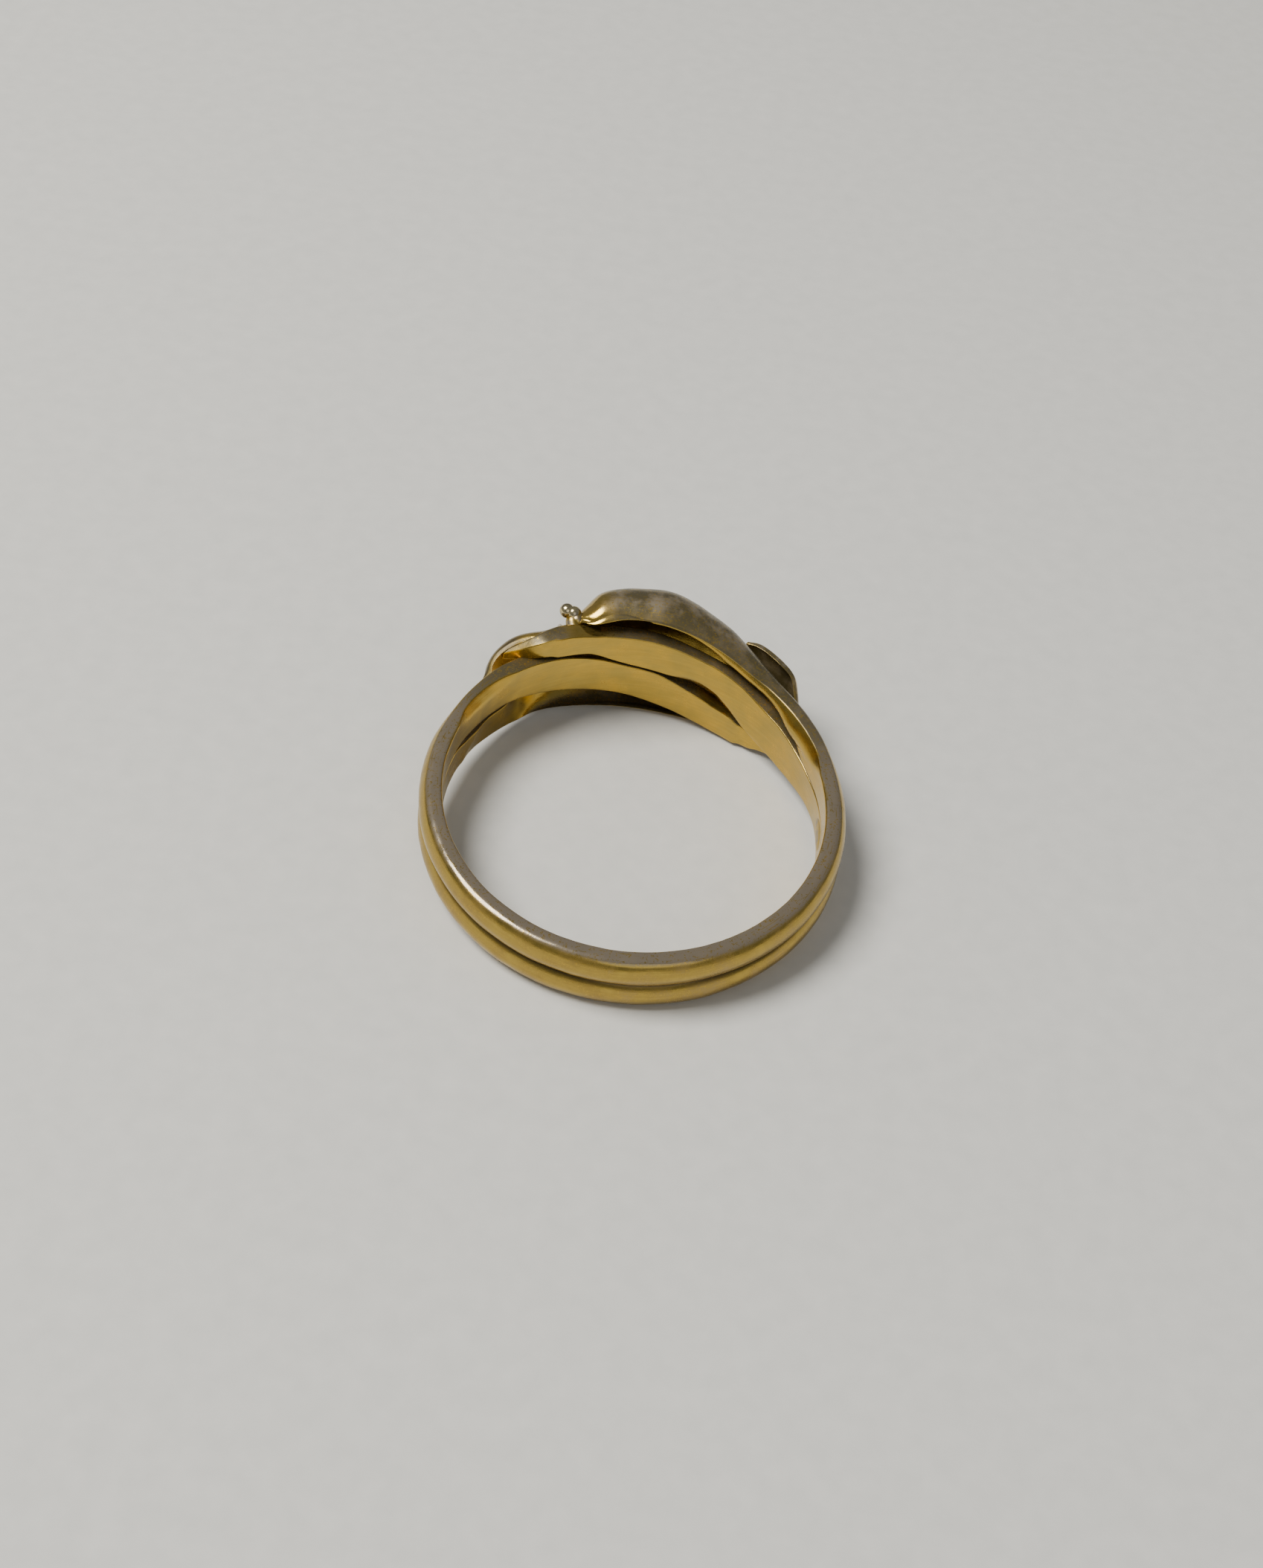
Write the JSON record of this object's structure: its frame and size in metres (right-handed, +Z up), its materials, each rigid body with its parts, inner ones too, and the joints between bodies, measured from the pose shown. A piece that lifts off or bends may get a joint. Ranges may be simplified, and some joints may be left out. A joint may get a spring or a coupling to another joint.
{
  "type": "double band ring",
  "caption": "Gold finger ring of soldered half-round bands that part at the shoulders into a hollow leaf front, crossing tongues with rounded buds, and small beads.",
  "frame": {"origin": "on the surface that the ring lies on, under the middle of its box", "axes": "+Y towards the leaf front, +Z up and roughly along the finger hole, +X to the right with the front at the far side"},
  "size_m": [0.02, 0.0224, 0.0069],
  "materials": {
    "gold": "satin worn yellow gold, dark brown-grey patina outside and in the grooves"
  },
  "bodies": {
    "root": {"ring": "gold"}
  },
  "joints": []
}
